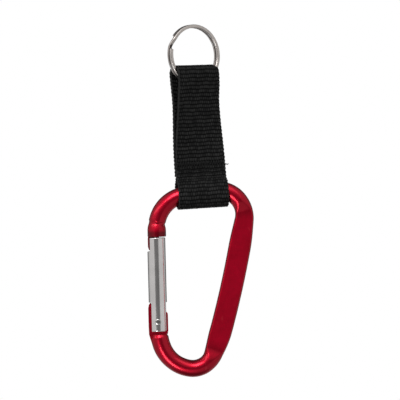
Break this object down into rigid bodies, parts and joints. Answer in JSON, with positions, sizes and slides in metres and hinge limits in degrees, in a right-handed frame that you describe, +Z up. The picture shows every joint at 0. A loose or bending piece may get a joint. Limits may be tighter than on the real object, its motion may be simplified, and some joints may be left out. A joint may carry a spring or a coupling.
{
  "type": "carabiner keyring",
  "caption": "D-shaped snap carabiner with a sprung bar gate, hung by a short sewn webbing strap from a split ring.",
  "frame": {"origin": "0.4 mm below the inside top of the split ring, the middle of the thin hook or key that holds it", "axes": "+Z up as it hangs, +X from the gate side to the spine side, -Y to the front"},
  "size_m": [0.0443, 0.0176, 0.1447],
  "materials": {
    "anodised_red": "red anodised, semi-gloss",
    "plain_aluminium": "satin, brushed along its length",
    "steel": "nickel plated, bright",
    "black_webbing": "ribbed polypropylene webbing",
    "black_thread": "twisted polyester thread"
  },
  "bodies": {
    "ring": {"split_ring": "steel"},
    "strap": {"strap_ring_fold": "black_webbing", "strap_front_layer": "black_webbing", "strap_back_layer": "black_webbing", "strap_bar_fold": "black_webbing", "strap_tail": "black_webbing", "seam_thread_front": "black_thread", "seam_thread_back": "black_thread"},
    "carabiner": {"carabiner_frame": "anodised_red"},
    "gate": {"gate": "plain_aluminium", "gate_rivet": "steel", "gate_spring": "steel"},
    "plunger": {"gate_plunger": "steel"}
  },
  "joints": [
    {"name": "strap_swing", "type": "hinge", "parent": "ring", "child": "strap", "pos_m": [0, 0, -0.0225], "axis": [0.809, 0.5878, 0], "range_deg": [-90, 90], "deforming": ["strap_ring_fold"]},
    {"name": "carabiner_swing", "type": "hinge", "parent": "strap", "child": "carabiner", "pos_m": [0.0006, 0, -0.0672], "axis": [0.9898, 0, 0.1426], "range_deg": [-90, 90], "deforming": ["strap_bar_fold"]},
    {"name": "gate_pivot", "type": "hinge", "parent": "carabiner", "child": "gate", "pos_m": [-0.0174, 0, -0.1198], "axis": [0, 1, 0], "range_deg": [0, 34], "stiffness_Nm_per_rad": 0.1, "springref_deg": -34.38},
    {"name": "plunger_slide", "type": "slide", "parent": "gate", "child": "plunger", "axis": [0, 0, 1], "range_m": [0, 0.0014], "deforming": ["gate_spring"]}
  ],
  "couplings": [
    {"joint": "plunger_slide", "follows": "gate_pivot", "m_per_rad": 0.0021}
  ]
}
